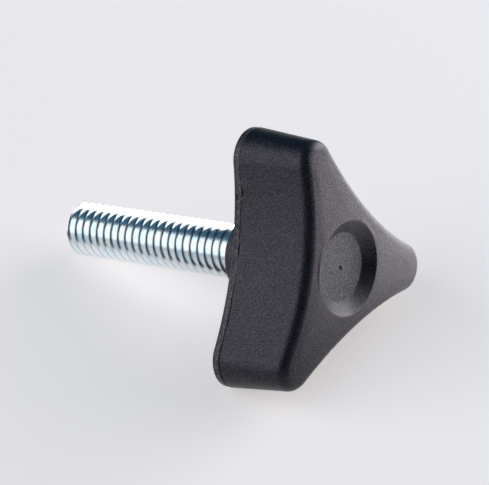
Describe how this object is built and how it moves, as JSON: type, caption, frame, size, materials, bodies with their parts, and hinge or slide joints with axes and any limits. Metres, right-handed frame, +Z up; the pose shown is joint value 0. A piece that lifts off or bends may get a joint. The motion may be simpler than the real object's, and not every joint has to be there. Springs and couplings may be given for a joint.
{
  "type": "three-lobe handwheel",
  "caption": "Small clamping handwheel: a moulded plastic head with rounded lobes and a dished top, on a zinc-plated threaded stud.",
  "frame": {"origin": "on the surface that the part lies on, under the middle of its box", "axes": "+X along the surface from the stud's free end towards the head, +Z up, the part symmetric about Y = 0; the screw's axis rises towards +X by 13.3 degrees, because the part lies on two lobes and on the end of its stud"},
  "size_m": [0.0376, 0.0276, 0.0252],
  "materials": {
    "moulded_plastic": "black glass-filled nylon, fine matt moulded grain",
    "zinc_plated_steel": "rolled thread, bright zinc plating with a faint blue passivation"
  },
  "bodies": {
    "root": {"lobed_head": "moulded_plastic", "threaded_stud": "zinc_plated_steel"}
  },
  "joints": []
}
